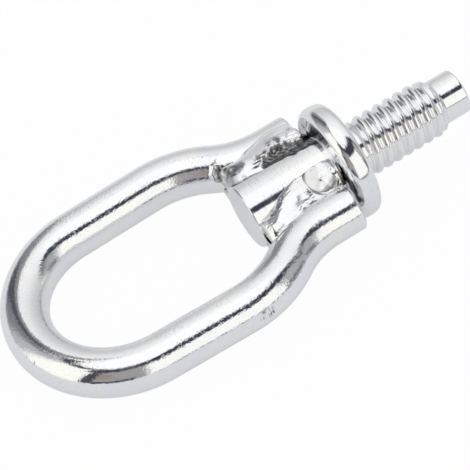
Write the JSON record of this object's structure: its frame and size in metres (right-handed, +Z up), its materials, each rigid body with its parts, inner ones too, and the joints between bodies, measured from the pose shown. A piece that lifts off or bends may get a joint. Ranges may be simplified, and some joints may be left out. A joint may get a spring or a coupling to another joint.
{
  "type": "tow eye",
  "caption": "Screw-in tow eye: a round bar bent into an eye and welded to a collared stud with a coarse left-hand thread.",
  "frame": {"origin": "centre of the collar's seating face, on the stud's axis", "axes": "+X along the stud from the eye to the nose, +Z up, square to the plane of the eye"},
  "size_m": [0.1501, 0.0706, 0.036],
  "materials": {
    "bar_steel": "bright zinc plate",
    "stud_steel": "bright zinc plate",
    "weld_metal": "zinc-plated weld bead"
  },
  "bodies": {
    "root": {"eye_loop": "bar_steel", "threaded_stud": "stud_steel", "weld_top_left": "weld_metal", "weld_top_right": "weld_metal", "weld_bottom_left": "weld_metal", "weld_bottom_right": "weld_metal"}
  },
  "joints": []
}
